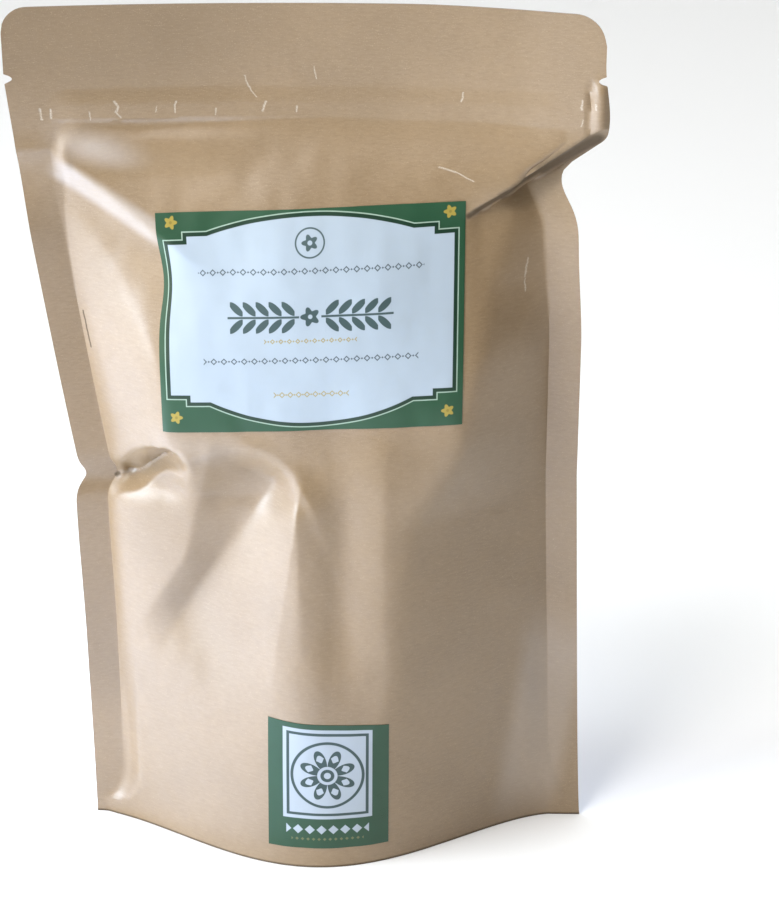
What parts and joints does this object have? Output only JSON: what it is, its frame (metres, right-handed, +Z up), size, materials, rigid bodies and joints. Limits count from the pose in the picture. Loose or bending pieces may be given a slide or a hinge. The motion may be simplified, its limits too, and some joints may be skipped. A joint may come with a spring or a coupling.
{
  "type": "stand-up pouch of dried maitake mushroom",
  "caption": "Sealed kraft-paper stand-up pouch with folded bottom gusset, press-to-close strip, tear notches and stuck-on labels, filled with dried mushroom fronds.",
  "frame": {"origin": "centre of the bounding box, on the ground under the standing pouch", "axes": "+Z up along the pouch's height, -Y out of the labelled front, +X to the right as the front is seen"},
  "size_m": [0.1602, 0.0642, 0.2438],
  "materials": {
    "kraft_front": "smooth unbleached kraft with a faint satin sheen",
    "kraft_back": "smooth unbleached kraft with a faint satin sheen",
    "kraft_gusset": "smooth unbleached kraft, folded",
    "label_plaque": "coated label paper, semi-gloss",
    "label_square": "coated label paper, semi-gloss",
    "zip_film": "natural polyethylene",
    "dried_fungus": "dry, fibrous and wrinkled"
  },
  "bodies": {
    "root": {"front_panel": "kraft_front", "back_panel": "kraft_back", "bottom_gusset": "kraft_gusset", "main_label": "label_plaque", "square_label": "label_square", "zip_socket": "zip_film", "zip_ridge": "zip_film", "dried_frond_1": "dried_fungus", "dried_frond_2": "dried_fungus", "dried_frond_3": "dried_fungus", "dried_frond_4": "dried_fungus", "dried_frond_5": "dried_fungus", "dried_frond_6": "dried_fungus", "dried_frond_7": "dried_fungus", "dried_frond_8": "dried_fungus"}
  },
  "joints": []
}
